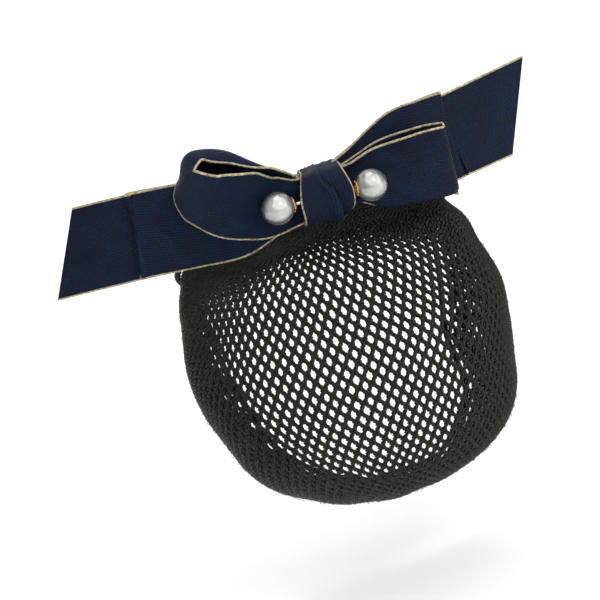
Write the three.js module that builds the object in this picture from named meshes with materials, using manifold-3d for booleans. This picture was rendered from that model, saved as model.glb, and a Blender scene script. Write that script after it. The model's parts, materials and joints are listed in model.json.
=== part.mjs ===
// Ribbon bow hair clip with a crochet snood net. Millimetres, +Z up, the face that is seen is -Y.
// The origin is the middle of the clip's plate, on the side that lies against the hair.
import * as THREE from 'three';
import * as BufferGeometryUtils from 'three/addons/utils/BufferGeometryUtils.js';
import Module from 'manifold-3d';

const wasm = await Module();
wasm.setup();

// Clip: an arched spring plate with a straight bar behind it
const clipLength = 80;
const clipRadius = 110;
const clipHeight = 9;
const plateThick = 1.0;
const barHeight = 6;
const barThick = 1.2;
const barSetback = 7.6;
const clipEndLength = 5;
const plateHoleRadius = 1.3;

// Ribbon: every layer is cut from the same one
const ribbonWidth = 26.5;
const ribbonThick = 1.0;
const layerGap = 0.4;
const tailSpan = 146;
const tailCut = 16;
const underLoopSpan = 102;
const frontLoopSpan = 84;
const loopPuff = 12;

// Knot, pearls and the pin between them
const knotWidth = 16;
const knotHeight = ribbonWidth * 0.585;
const knotLift = 0.6;
const knotShift = -1.8;
const knotCrown = 1.2;
const pinDiameter = 1.0;
const pearlDiameter = 10;
const pearlRoom = 3.7;
const pearlSpacing = knotWidth + pearlDiameter + pearlRoom;
const pearlTilt = 4;
const pearlStand = 1.0;
const pinShift = -2.4;
const pinLift = 1.1;
const capDiameter = 4.6;
const capDepth = 1.3;

// Net bag and the elastic along its mouth
const netWidth = 102;
const netDrop = 110;
const netRise = 3;
const netDepth = 32;
const netBack = 15;
const netThick = 1.4;
const gapColumns = 13;
const gapRows = 9;
const gapShare = 0.64;
const elasticDiameter = 2.2;

// The layers stand in front of the plate, one behind the other, under the knot
const step = ribbonThick + layerGap;
const netFaceY = -plateThick - 2 * layerGap - netThick / 2;
const knotBackY = netFaceY - netThick / 2 - 2 * layerGap - ribbonThick / 2;
const tailY = knotBackY - step - layerGap;
const underBackY = tailY - step - 1.5 * layerGap;
const underFrontY = underBackY - step;
const loopBackY = underFrontY - step - layerGap / 2;
const loopFrontY = loopBackY - step;
const pinY = loopFrontY - ribbonThick / 2 - pearlStand - pearlDiameter / 2;
const knotFrontY = pinY - pinDiameter / 2 - layerGap - ribbonThick / 2 + knotCrown;

// How far the head's curve carries a layer back at x: the clip's arc, then straight on past its ends
function headCurve(x) {
  const end = clipLength / 2;
  const reach = Math.min(Math.abs(x), end);
  const depth = Math.sqrt(clipRadius ** 2 - reach ** 2);
  return clipRadius - depth + ((Math.abs(x) - reach) * end) / depth;
}

// The slope of the layers there
function headSlope(x) {
  const reach = Math.min(Math.abs(x), clipLength / 2);
  return (Math.sign(x) * reach) / Math.sqrt(clipRadius ** 2 - reach ** 2);
}

const degrees = (value) => (value * Math.PI) / 180;
const mix = (a, b, share) => a + (b - a) * share;
const smooth = (t) => t * t * (3 - 2 * t);

// Reads a table of rows at a share along it, smoothly between the rows
function readTable(rows, share, closed) {
  const count = rows.length;
  const place = share * (closed ? count : count - 1);
  const at = Math.min(Math.floor(place), closed ? count - 1 : count - 2);
  const t = place - at;
  const pick = (i) => rows[closed ? (i + count) % count : Math.max(0, Math.min(count - 1, i))];
  const [a, b, c, d] = [pick(at - 1), pick(at), pick(at + 1), pick(at + 2)];
  const result = {};
  for (const key of Object.keys(b)) {
    const slopeB = (c[key] - a[key]) / 2;
    const slopeC = (d[key] - b[key]) / 2;
    const curve = 2 * b[key] - 2 * c[key] + slopeB + slopeC;
    const bend = -3 * b[key] + 3 * c[key] - 2 * slopeB - slopeC;
    result[key] = ((curve * t + bend) * t + slopeB) * t + b[key];
  }
  return result;
}

// Joins outlines of the same number of points into one closed body
function skin(outlines, closed) {
  const size = outlines[0].length;
  const count = outlines.length;
  const positions = outlines.flat().flatMap((point) => point.toArray());
  const faces = [];
  for (let i = 0; i < (closed ? count : count - 1); i++) {
    const next = (i + 1) % count;
    for (let j = 0; j < size; j++) {
      const a = i * size + j;
      const b = i * size + ((j + 1) % size);
      const c = next * size + ((j + 1) % size);
      const d = next * size + j;
      faces.push(a, b, c, a, c, d);
    }
  }
  if (!closed) {
    // Each end is closed in strips between the two sides of the outline
    const last = (count - 1) * size;
    for (let j = 0; j < size / 2 - 1; j++) {
      const k = size - 1 - j;
      faces.push(j, k, k - 1, j, k - 1, j + 1);
      faces.push(last + j, last + j + 1, last + k - 1, last + j, last + k - 1, last + k);
    }
  }
  return outward(new THREE.BufferGeometry()
    .setAttribute('position', new THREE.Float32BufferAttribute(positions, 3))
    .setIndex(faces));
}

// Turns the faces round where they point inward
function outward(geometry) {
  const p = geometry.attributes.position;
  const index = geometry.index.array;
  const [a, b, c] = [new THREE.Vector3(), new THREE.Vector3(), new THREE.Vector3()];
  let volume = 0;
  for (let i = 0; i < index.length; i += 3) {
    a.fromBufferAttribute(p, index[i]);
    b.fromBufferAttribute(p, index[i + 1]);
    c.fromBufferAttribute(p, index[i + 2]);
    volume += a.dot(b.cross(c));
  }
  if (volume < 0) {
    for (let i = 0; i < index.length; i += 3) [index[i + 1], index[i + 2]] = [index[i + 2], index[i + 1]];
  }
  return geometry;
}

// A ribbon through stations { centre, across, half, curl, roll }: across points to its upper edge, curl is
// the angle in degrees by which it bends over its width, and roll a further bend of its upper third.
// A station may slide its upper edge along the ribbon by slant, or be leaning: then it keeps across as it is.
function ribbon(stations, closed, pieces = 4) {
  const count = stations.length;
  const outlines = stations.map((station, i) => {
    const before = stations[closed ? (i + count - 1) % count : Math.max(0, i - 1)];
    const after = stations[closed ? (i + 1) % count : Math.min(count - 1, i + 1)];
    const along = after.centre.clone().sub(before.centre).normalize();
    const face = along.clone().cross(station.across).normalize();
    const across = face.clone().cross(along).normalize();
    const slant = station.leaning ? station.half * along.dot(station.across) : station.slant ?? 0;
    const rolled = (v) => (station.roll ?? 0) * Math.max(0, (v - 0.2) / 0.8);
    const turnAt = (v) => degrees((station.curl * v) / 2 + rolled(v));
    const front = [];
    const back = [];
    const walk = { level: 0, rise: 0 };
    const spots = [];
    const length = (2 * station.half) / pieces;
    for (let j = 0; j <= pieces; j++) {
      const v = (2 * j) / pieces - 1;
      if (j) {
        const turn = turnAt(v - 1 / pieces);
        walk.level += length * Math.cos(turn);
        walk.rise += length * Math.sin(turn);
      }
      spots.push({ v, level: walk.level, rise: walk.rise, turn: turnAt(v) });
    }
    const middle = spots[Math.floor(pieces / 2)];
    for (const spot of spots) {
      const point = station.centre.clone()
        .addScaledVector(across, spot.level - middle.level)
        .addScaledVector(face, spot.rise - middle.rise)
        .addScaledVector(along, slant * spot.v);
      const normal = face.clone().multiplyScalar(Math.cos(spot.turn))
        .addScaledVector(across, -Math.sin(spot.turn));
      front.push(point.clone().addScaledVector(normal, ribbonThick / 2));
      back.unshift(point.clone().addScaledVector(normal, -ribbonThick / 2));
    }
    return [...front, ...back];
  });
  return skin(outlines, closed);
}

// The direction of the upper edge at x: nod tips it towards the viewer, side tips it to +X
function edgeDirection(nod, side, x) {
  const lean = Math.sin(degrees(side));
  return new THREE.Vector3(
    lean,
    headSlope(x) * lean - Math.sin(degrees(nod)) * Math.cos(degrees(side)),
    Math.cos(degrees(nod)) * Math.cos(degrees(side)),
  );
}

// Stations of a loop pair. reach is a share of half its span, puff of loopPuff, lift of the ribbon's width,
// and spread of half that width. layer runs from 0, the back layer, to 1, the front one, at the lower edge.
function loopStations(rows, span, backY, frontY, steps, leaningRight = false) {
  return Array.from({ length: steps }, (_, i) => {
    const row = readTable(rows, i / steps, true);
    const x = (row.reach * span) / 2;
    const half = (row.spread * ribbonWidth) / 2;
    const lowerY = mix(backY, frontY, row.layer) + headCurve(x) - row.puff * loopPuff;
    return {
      centre: new THREE.Vector3(x, lowerY - half * Math.sin(degrees(row.nod)), row.lift * ribbonWidth),
      across: edgeDirection(row.nod, row.side, x),
      half,
      curl: row.curl,
      roll: row.roll,
      leaning: leaningRight && x > 0,
    };
  });
}

// Front loops: the left one is round and open to the viewer, the right one is pressed flat
const frontLoopRows = [
  { reach: 0.00, layer: 1.0, puff: 0.00, lift: 0.02, spread: 0.46, nod: 0, side: 0, curl: 0, roll: 0 },
  { reach: -0.24, layer: 1.0, puff: 0.00, lift: 0.01, spread: 0.48, nod: 3, side: 2, curl: 0, roll: 0 },
  { reach: -0.46, layer: 1.0, puff: 0.00, lift: 0.07, spread: 0.75, nod: 14, side: 11, curl: 0, roll: 0 },
  { reach: -0.72, layer: 1.0, puff: 0.34, lift: 0.31, spread: 1.00, nod: 34, side: 11, curl: -6, roll: 0 },
  { reach: -0.92, layer: 0.9, puff: 0.50, lift: 0.50, spread: 1.00, nod: 42, side: 4, curl: -8, roll: 0 },
  { reach: -1.02, layer: 0.5, puff: 0.42, lift: 0.71, spread: 1.00, nod: 50, side: 0, curl: 0, roll: 20 },
  { reach: -0.95, layer: 0.1, puff: 0.24, lift: 0.89, spread: 1.00, nod: 46, side: 6, curl: 0, roll: 90 },
  { reach: -0.74, layer: 0.0, puff: 0.12, lift: 0.73, spread: 0.98, nod: 24, side: 14, curl: 0, roll: 130 },
  { reach: -0.50, layer: 0.0, puff: 0.04, lift: 0.33, spread: 0.82, nod: 8, side: 12, curl: 0, roll: 80 },
  { reach: -0.25, layer: 0.0, puff: 0.00, lift: 0.04, spread: 0.54, nod: 0, side: 2, curl: 0, roll: 10 },
  { reach: 0.00, layer: 0.0, puff: 0.00, lift: 0.00, spread: 0.46, nod: 0, side: 0, curl: 0, roll: 0 },
  { reach: 0.20, layer: 0.0, puff: 0.00, lift: 0.00, spread: 0.50, nod: 0, side: 0, curl: 0, roll: 0 },
  { reach: 0.46, layer: 0.0, puff: 0.00, lift: -0.01, spread: 0.80, nod: 6, side: -2, curl: 0, roll: 0 },
  { reach: 0.74, layer: 0.0, puff: 0.14, lift: -0.02, spread: 0.88, nod: 12, side: -3, curl: 0, roll: 0 },
  { reach: 0.94, layer: 0.0, puff: 0.24, lift: -0.07, spread: 0.97, nod: 18, side: -5, curl: 0, roll: 0 },
  { reach: 0.98, layer: 0.5, puff: 0.27, lift: -0.09, spread: 0.98, nod: 18, side: -6, curl: 0, roll: 0 },
  { reach: 0.94, layer: 1.0, puff: 0.30, lift: -0.11, spread: 0.98, nod: 18, side: -5, curl: 0, roll: 0 },
  { reach: 0.72, layer: 1.0, puff: 0.30, lift: -0.07, spread: 0.92, nod: 13, side: -3, curl: 4, roll: 0 },
  { reach: 0.44, layer: 1.0, puff: 0.12, lift: -0.05, spread: 0.79, nod: 6, side: -3, curl: 4, roll: 0 },
  { reach: 0.20, layer: 1.0, puff: 0.00, lift: 0.00, spread: 0.50, nod: 2, side: 0, curl: 0, roll: 0 },
];

// Under loops: one flat loop on each side, pressed to a crease
const underLoopRows = [
  { reach: 0.00, layer: 1.0, puff: 0.00, lift: 0.00, spread: 0.44, nod: 0, side: 0, curl: 0, roll: 0 },
  { reach: -0.22, layer: 1.0, puff: 0.00, lift: 0.00, spread: 0.52, nod: 0, side: 0, curl: 0, roll: 0 },
  { reach: -0.52, layer: 1.0, puff: 0.00, lift: 0.02, spread: 0.96, nod: 0, side: 2, curl: 0, roll: 0 },
  { reach: -0.82, layer: 1.0, puff: 0.00, lift: 0.03, spread: 1.00, nod: 0, side: 6, curl: 0, roll: 0 },
  { reach: -1.08, layer: 1.0, puff: 0.00, lift: 0.04, spread: 1.00, nod: 0, side: 8, curl: 0, roll: 0 },
  { reach: -1.11, layer: 0.5, puff: 0.00, lift: 0.04, spread: 1.00, nod: 0, side: 8, curl: 0, roll: 0 },
  { reach: -1.08, layer: 0.0, puff: 0.00, lift: 0.04, spread: 1.00, nod: 0, side: 8, curl: 0, roll: 0 },
  { reach: -0.82, layer: 0.0, puff: 0.00, lift: 0.02, spread: 1.00, nod: 0, side: 6, curl: 0, roll: 0 },
  { reach: -0.52, layer: 0.0, puff: 0.00, lift: 0.00, spread: 0.96, nod: 0, side: 2, curl: 0, roll: 0 },
  { reach: -0.22, layer: 0.0, puff: 0.00, lift: 0.00, spread: 0.52, nod: 0, side: 0, curl: 0, roll: 0 },
  { reach: 0.00, layer: 0.0, puff: 0.00, lift: 0.00, spread: 0.44, nod: 0, side: 0, curl: 0, roll: 0 },
  { reach: 0.22, layer: 0.0, puff: 0.00, lift: 0.06, spread: 0.60, nod: 0, side: 0, curl: 0, roll: 0 },
  { reach: 0.50, layer: 0.0, puff: 0.00, lift: 0.09, spread: 1.00, nod: 0, side: -4, curl: 0, roll: 0 },
  { reach: 0.72, layer: 0.0, puff: 0.00, lift: 0.08, spread: 1.04, nod: 0, side: -9, curl: 0, roll: 0 },
  { reach: 0.88, layer: 0.0, puff: 0.00, lift: 0.06, spread: 1.05, nod: 0, side: -10, curl: 0, roll: 0 },
  { reach: 0.91, layer: 0.5, puff: 0.00, lift: 0.06, spread: 1.05, nod: 0, side: -10, curl: 0, roll: 0 },
  { reach: 0.88, layer: 1.0, puff: 0.00, lift: 0.06, spread: 1.05, nod: 0, side: -10, curl: 0, roll: 0 },
  { reach: 0.72, layer: 1.0, puff: 0.00, lift: 0.09, spread: 1.04, nod: 0, side: -10, curl: 0, roll: 0 },
  { reach: 0.50, layer: 1.0, puff: 0.00, lift: 0.11, spread: 1.00, nod: 0, side: -5, curl: 0, roll: 0 },
  { reach: 0.22, layer: 1.0, puff: 0.00, lift: 0.08, spread: 0.60, nod: 0, side: 0, curl: 0, roll: 0 },
];

// Tail strip: reach is a share of half its span, and slant of tailCut, by which the two ends are cut askew
const tailRows = [
  { reach: -1.07, lift: -0.02, spread: 1.01, slant: 1.0 },
  { reach: -0.76, lift: 0.00, spread: 1.00, slant: 0.5 },
  { reach: -0.50, lift: 0.00, spread: 0.98, slant: 0.0 },
  { reach: -0.28, lift: 0.00, spread: 0.80, slant: 0.0 },
  { reach: -0.12, lift: 0.01, spread: 0.50, slant: 0.0 },
  { reach: 0.00, lift: 0.01, spread: 0.42, slant: 0.0 },
  { reach: 0.12, lift: 0.01, spread: 0.50, slant: 0.0 },
  { reach: 0.28, lift: 0.00, spread: 0.80, slant: 0.0 },
  { reach: 0.50, lift: 0.00, spread: 0.98, slant: 0.0 },
  { reach: 0.76, lift: 0.00, spread: 1.03, slant: 0.5 },
  { reach: 1.02, lift: 0.00, spread: 1.06, slant: 1.0 },
];

function tailStations(steps) {
  return Array.from({ length: steps + 1 }, (_, i) => {
    const row = readTable(tailRows, i / steps, false);
    const x = (row.reach * tailSpan) / 2;
    return {
      centre: new THREE.Vector3(x, tailY + headCurve(x), row.lift * ribbonWidth),
      across: edgeDirection(0, 0, x),
      half: (row.spread * ribbonWidth) / 2,
      curl: 0,
      slant: (row.slant * tailCut) / 2,
    };
  });
}

// Knot: a band round all the layers. depth runs from 0, behind them, to 1, in front;
// height is a share of half its height, and spread a share of half its width.
const knotRows = [
  { depth: 1.00, height: 0.00, crown: 1.0, spread: 1.00, shift: 0.00 },
  { depth: 0.97, height: 0.55, crown: 0.8, spread: 0.94, shift: 0.00 },
  { depth: 0.78, height: 0.92, crown: 0.3, spread: 0.79, shift: 0.04 },
  { depth: 0.45, height: 1.00, crown: 0.0, spread: 0.70, shift: 0.06 },
  { depth: 0.08, height: 0.98, crown: 0.0, spread: 0.70, shift: 0.04 },
  { depth: 0.00, height: 0.86, crown: 0.0, spread: 0.70, shift: 0.00 },
  { depth: 0.00, height: 0.00, crown: 0.0, spread: 0.70, shift: 0.00 },
  { depth: 0.00, height: -0.86, crown: 0.0, spread: 0.70, shift: 0.00 },
  { depth: 0.08, height: -0.98, crown: 0.0, spread: 0.74, shift: -0.02 },
  { depth: 0.45, height: -1.00, crown: 0.0, spread: 0.80, shift: -0.05 },
  { depth: 0.78, height: -0.92, crown: 0.3, spread: 0.88, shift: -0.05 },
  { depth: 0.97, height: -0.55, crown: 0.8, spread: 0.96, shift: -0.02 },
];

function knotStations(steps) {
  return Array.from({ length: steps }, (_, i) => {
    const row = readTable(knotRows, i / steps, true);
    return {
      centre: new THREE.Vector3(
        knotShift + (row.shift * knotWidth) / 2,
        mix(knotBackY, knotFrontY, row.depth) - row.crown * knotCrown,
        knotLift + (row.height * knotHeight) / 2,
      ),
      across: new THREE.Vector3(1, 0, 0),
      half: (row.spread * knotWidth) / 2,
      curl: 0,
    };
  });
}

// Net: one section for each row, from the clip down. drop is a share of netDrop, width of half netWidth,
// front of netDepth and back of netBack; wrap is the angle at which the section ends at the mouth,
// round runs from 0, the clip's own arc, to 1, a full round, tuck lifts the ends by a share of netDrop
// and shift moves the section to the right.
const netRows = [
  { drop: 0, width: 0.74, front: 0, side: 0.45, back: 0.45, wrap: 90, round: 0, tuck: 0, shift: 0 },
  { drop: 0.075, width: 0.77, front: 0, side: 0.45, back: 0.47, wrap: 92, round: 0, tuck: 0, shift: -0.7 },
  { drop: 0.145, width: 0.82, front: 0, side: 0.42, back: 0.52, wrap: 96, round: 0, tuck: 0, shift: -2 },
  { drop: 0.19, width: 0.87, front: 0.06, side: 0.32, back: 0.62, wrap: 104, round: 0.5, tuck: 0, shift: -3 },
  { drop: 0.242, width: 0.91, front: 0.38, side: 0.15, back: 0.76, wrap: 114, round: 1, tuck: 0, shift: -3 },
  { drop: 0.33, width: 0.96, front: 0.67, side: 0, back: 0.86, wrap: 122, round: 1, tuck: 0, shift: -2.8 },
  { drop: 0.44, width: 1.01, front: 0.92, side: -0.2, back: 0.96, wrap: 128, round: 1, tuck: 0, shift: -2.2 },
  { drop: 0.56, width: 0.99, front: 1, side: -0.3, back: 1, wrap: 130, round: 1, tuck: 0.01, shift: -2.2 },
  { drop: 0.68, width: 0.94, front: 0.97, side: -0.3, back: 1, wrap: 130, round: 1, tuck: 0.04, shift: -1.2 },
  { drop: 0.79, width: 0.89, front: 0.82, side: -0.2, back: 0.98, wrap: 127, round: 1, tuck: 0.08, shift: 0.7 },
  { drop: 0.89, width: 0.79, front: 0.55, side: 0.05, back: 0.95, wrap: 121, round: 1, tuck: 0.11, shift: 3 },
  { drop: 0.965, width: 0.63, front: 0.18, side: 0.4, back: 0.92, wrap: 113, round: 1, tuck: 0.12, shift: 5.2 },
  { drop: 1, width: 0.45, front: -0.14, side: 0.68, back: 0.9, wrap: 103, round: 1, tuck: 0.09, shift: 6.6 },
  { drop: 0.985, width: 0.34, front: -0.36, side: 0.82, back: 0.88, wrap: 94, round: 1, tuck: 0.05, shift: 7 },
];

// A point of the net: u runs from -1 to 1 across, v from 0 at the clip to 1 at the mouth's lower edge
function netPoint(u, v) {
  const row = readTable(netRows, v, false);
  const halfWidth = (row.width * netWidth) / 2;
  const angle = degrees(u * row.wrap);
  const x = halfWidth * mix(u, Math.sin(angle), row.round);
  const frontY = netFaceY - row.front * netDepth;
  const sideY = row.side * netBack;
  const backY = row.back * netBack;
  const wrapCos = Math.cos(degrees(row.wrap));
  const ring = Math.cos(angle) >= 0
    ? mix(sideY, frontY, Math.cos(angle))
    : mix(sideY, backY, Math.cos(angle) / Math.min(wrapCos, -1e-3));
  const y = mix(netFaceY + headCurve(x), ring, row.round);
  const z = netRise - (row.drop - row.tuck * (1 - Math.cos(angle)) / 2) * netDrop;
  return new THREE.Vector3(x + row.shift, y, z);
}

function netNormal(u, v) {
  const nudge = 1e-3;
  const along = netPoint(u + nudge, v).sub(netPoint(u - nudge, v));
  const down = netPoint(u, Math.min(1, v + nudge)).sub(netPoint(u, Math.max(0, v - nudge)));
  return along.cross(down).normalize().negate();
}

// The net as a shell of six-sided cells in staggered rows, each with a six-sided gap through it
function netShell() {
  const pitchU = 2 / gapColumns;
  const pitchV = 1 / gapRows;
  const positions = [];
  const faces = [];
  const known = new Map();
  function vertex(u, v, side) {
    const key = `${u.toFixed(5)},${v.toFixed(5)},${side}`;
    if (!known.has(key)) {
      const point = netPoint(u, v).addScaledVector(netNormal(u, v), (side * netThick) / 2);
      known.set(key, positions.length / 3);
      positions.push(...point.toArray());
    }
    return known.get(key);
  }
  const edges = new Map();
  function polygon(points, hole) {
    for (const side of [1, -1]) {
      const rim = points.map(([u, v]) => vertex(u, v, side));
      const put = (a, b, c) => (side > 0 ? faces.push(a, b, c) : faces.push(a, c, b));
      if (hole) {
        const inner = hole.map(([u, v]) => vertex(u, v, side));
        rim.forEach((_, i) => {
          const j = (i + 1) % rim.length;
          put(rim[i], rim[j], inner[j]);
          put(rim[i], inner[j], inner[i]);
        });
      } else {
        for (let i = 1; i < rim.length - 1; i++) put(rim[0], rim[i], rim[i + 1]);
      }
    }
    const wall = (loop, turn) => loop.forEach((point, i) => {
      const next = loop[(i + 1) % loop.length];
      const quad = [vertex(...point, 1), vertex(...point, -1), vertex(...next, -1), vertex(...next, 1)];
      if (turn) quad.reverse();
      faces.push(quad[0], quad[1], quad[2], quad[0], quad[2], quad[3]);
    });
    if (hole) wall(hole, true);
    points.forEach((point, i) => {
      const next = points[(i + 1) % points.length];
      const a = vertex(...point, 1);
      const b = vertex(...next, 1);
      if (edges.has(`${b}-${a}`)) edges.delete(`${b}-${a}`);
      else edges.set(`${a}-${b}`, [point, next]);
    });
  }
  // The zigzag line between two rows; it is straight along the clip and along the mouth
  function line(row, k) {
    const flat = row === 0 || row === gapRows;
    const up = (k + row) % 2 === 1;
    return [-1 + (k * pitchU) / 2, row * pitchV + (flat ? 0 : (up ? -1 : 1) * pitchV * 0.17)];
  }
  for (let row = 0; row < gapRows; row++) {
    const shifted = row % 2;
    for (let cell = 0; cell < gapColumns - shifted; cell++) {
      const k = 2 * cell + shifted;
      const above = [0, 1, 2].map((i) => line(row, k + i));
      const below = [2, 1, 0].map((i) => line(row + 1, k + i));
      const points = [...above, ...below];
      const middle = [0, 1].map((axis) => points.reduce((sum, point) => sum + point[axis], 0) / 6);
      const hole = points.map((point) => point.map((value, axis) => mix(middle[axis], value, gapShare)));
      polygon(points, hole);
    }
    if (shifted) {
      polygon([line(row, 0), line(row, 1), line(row + 1, 1), line(row + 1, 0)]);
      const end = 2 * gapColumns;
      polygon([line(row, end - 1), line(row, end), line(row + 1, end), line(row + 1, end - 1)]);
    }
  }
  for (const [point, next] of edges.values()) {
    const quad = [vertex(...point, 1), vertex(...point, -1), vertex(...next, -1), vertex(...next, 1)];
    faces.push(quad[0], quad[1], quad[2], quad[0], quad[2], quad[3]);
  }
  return outward(new THREE.BufferGeometry()
    .setAttribute('position', new THREE.Float32BufferAttribute(positions, 3))
    .setIndex(faces));
}

// Elastic: a round cord beside the net's free edge, down one side, along the bottom and up the other
function elastic() {
  const offset = elasticDiameter / 2 + 3 * layerGap;
  const path = [];
  const sideSteps = 20;
  const topV = 0.07;
  // beside is the share of the offset sideways, past the net's edge, and under the share below it
  const follow = (u, v, beside, under) => {
    // The net's edge is straight from row to row
    const at = Math.min(Math.floor(v * gapRows), gapRows - 1);
    const point = netPoint(u, at / gapRows).lerp(netPoint(u, (at + 1) / gapRows), v * gapRows - at);
    const out = netPoint(u, v).sub(netPoint(u * 0.98, v)).normalize();
    const down = netPoint(u, v).sub(netPoint(u, v - 0.015)).normalize();
    path.push(point.addScaledVector(out, offset * beside).addScaledVector(down, offset * under));
  };
  for (let i = 0; i < sideSteps; i++) follow(-1, mix(topV, 0.97, i / (sideSteps - 1)), 1, 0);
  follow(-1, 1, 0.9, 0.9);
  for (let i = -4; i <= 4; i++) follow((i / 4) * 0.9, 1, 0, 1);
  follow(1, 1, 0.9, 0.9);
  for (let i = sideSteps - 1; i >= 0; i--) follow(1, mix(topV, 0.97, i / (sideSteps - 1)), 1, 0);
  const curve = new THREE.CatmullRomCurve3(path);
  const section = new THREE.Shape(new THREE.EllipseCurve(0, 0, elasticDiameter / 2, elasticDiameter / 2)
    .getPoints(7).slice(0, 7));
  return new THREE.ExtrudeGeometry(section, { steps: 54, bevelEnabled: false, extrudePath: curve });
}

// Manifold solids, for the joins of the clip
function solidOf(geometry) {
  const plain = geometry.clone();
  for (const name of Object.keys(plain.attributes)) if (name !== 'position') plain.deleteAttribute(name);
  const merged = BufferGeometryUtils.mergeVertices(plain, 1e-4);
  return new wasm.Manifold(new wasm.Mesh({
    numProp: 3,
    vertProperties: merged.attributes.position.array,
    triVerts: merged.index.array,
  }));
}

function geometryOf(solid) {
  const mesh = solid.getMesh();
  return new THREE.BufferGeometry()
    .setAttribute('position', new THREE.BufferAttribute(new Float32Array(mesh.vertProperties), 3))
    .setIndex([...mesh.triVerts]);
}

// Clip: plate, bar and the two blocks that join them at the ends
function clip() {
  const end = clipLength / 2;
  const steps = 16;
  const strip = (inner, outer, reach, height) => {
    const shape = new THREE.Shape();
    const xs = Array.from({ length: steps + 1 }, (_, i) => mix(-reach, reach, i / steps));
    xs.forEach((x, i) => (i ? shape.lineTo(x, outer(x)) : shape.moveTo(x, outer(x))));
    [...xs].reverse().forEach((x) => shape.lineTo(x, inner(x)));
    const body = new THREE.ExtrudeGeometry(shape, { depth: height, bevelEnabled: false });
    return solidOf(body.translate(0, 0, -height / 2));
  };
  // Seen from the front, the plate has round ends and two holes by which the bow is tied on
  const face = new THREE.Shape();
  face.absarc(end - clipHeight / 2, 0, clipHeight / 2, -Math.PI / 2, Math.PI / 2);
  face.absarc(-end + clipHeight / 2, 0, clipHeight / 2, Math.PI / 2, (3 * Math.PI) / 2);
  for (const x of [-end + clipHeight, end - clipHeight]) {
    face.holes.push(new THREE.Path().absarc(x, 0, plateHoleRadius, 0, 2 * Math.PI));
  }
  const through = 40;
  const cutter = new THREE.ExtrudeGeometry(face, { depth: through, bevelEnabled: false, curveSegments: 8 });
  const mask = solidOf(cutter.rotateX(Math.PI / 2).translate(0, through / 2, 0));
  const arch = strip((x) => headCurve(x), (x) => headCurve(x) - plateThick, end + 1, clipHeight);
  const plate = arch.intersect(mask);
  const barReach = end - clipEndLength / 2;
  const bar = strip(() => barSetback + barThick, () => barSetback, barReach, barHeight);
  const joined = [-1, 1].map((side) => {
    const blockDepth = barSetback + barThick - headCurve(barReach) + plateThick / 2;
    const block = new THREE.BoxGeometry(clipEndLength, blockDepth, barHeight);
    block.translate(side * (barReach - clipEndLength / 2), barSetback + barThick - blockDepth / 2, 0);
    return solidOf(block);
  });
  return geometryOf(plate.add(bar).add(joined[0]).add(joined[1]));
}

// Materials
function material(color, roughness, metalness = 0) {
  return new THREE.MeshStandardMaterial({ color, roughness, metalness });
}

const navy = material(0x18203c, 0.85);
const black = material(0x14130f, 0.9);
const steel = material(0xb9bcc0, 0.35, 1);
const gilt = material(0xd2a45c, 0.3, 1);
const pearl = material(0xe9e7e2, 0.2);

const group = new THREE.Group();
function put(name, geometry, finish, parent = group) {
  const mesh = new THREE.Mesh(geometry, finish);
  mesh.name = name;
  parent.add(mesh);
  return mesh;
}

put('clip', clip(), steel);
put('net', netShell(), black);
put('rim_elastic', elastic(), black);
put('tail_ribbon', ribbon(tailStations(36), false), navy);
const underStations = loopStations(underLoopRows, underLoopSpan, underBackY, underFrontY, 60);
put('under_loops', ribbon(underStations, true, 2), navy);
const frontStations = loopStations(frontLoopRows, frontLoopSpan, loopBackY, loopFrontY, 60, true);
put('front_loops', ribbon(frontStations, true), navy);
put('knot', ribbon(knotStations(36), true), navy);

// Pearls: a bead on each end of the pin, with a gilt cup between bead and knot
const beadPin = new THREE.Group();
beadPin.position.set(pinShift, pinY, pinLift);
beadPin.rotation.y = degrees(pearlTilt);
group.add(beadPin);
const capSeat = Math.sqrt((pearlDiameter / 2) ** 2 - (capDiameter / 2) ** 2);
const pinReach = pearlSpacing / 2 - capSeat - capDepth - layerGap;
const pin = new THREE.CylinderGeometry(pinDiameter / 2, pinDiameter / 2, 2 * pinReach, 10);
put('pin', pin.rotateZ(Math.PI / 2), steel, beadPin);
for (const [side, word] of [[-1, 'left'], [1, 'right']]) {
  const bead = new THREE.SphereGeometry(pearlDiameter / 2, 16, 12).rotateZ(Math.PI / 2);
  put(`pearl_${word}`, bead, pearl, beadPin).position.x = side * (pearlSpacing / 2);
  // The cup is a ring turned round the pin's axis, hollow where the bead sits in it
  const seatRadius = pearlDiameter / 2 + layerGap;
  const rim = [0, 0.5, 1].map((share) => share * (capDiameter / 2));
  const cup = new THREE.LatheGeometry([
    ...rim.map((radius) => new THREE.Vector2(radius, -Math.sqrt(seatRadius ** 2 - radius ** 2))),
    new THREE.Vector2(capDiameter / 2, -capSeat - capDepth * 0.55),
    new THREE.Vector2(capDiameter / 3, -capSeat - capDepth),
    new THREE.Vector2(0, -capSeat - capDepth),
  ].reverse(), 14);
  cup.rotateZ(side * -Math.PI / 2);
  put(`cap_${word}`, cup, gilt, beadPin).position.x = side * (pearlSpacing / 2);
}

export default group;
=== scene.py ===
import json
import math

import bpy
import numpy as np
from mathutils import Matrix, Vector

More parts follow.
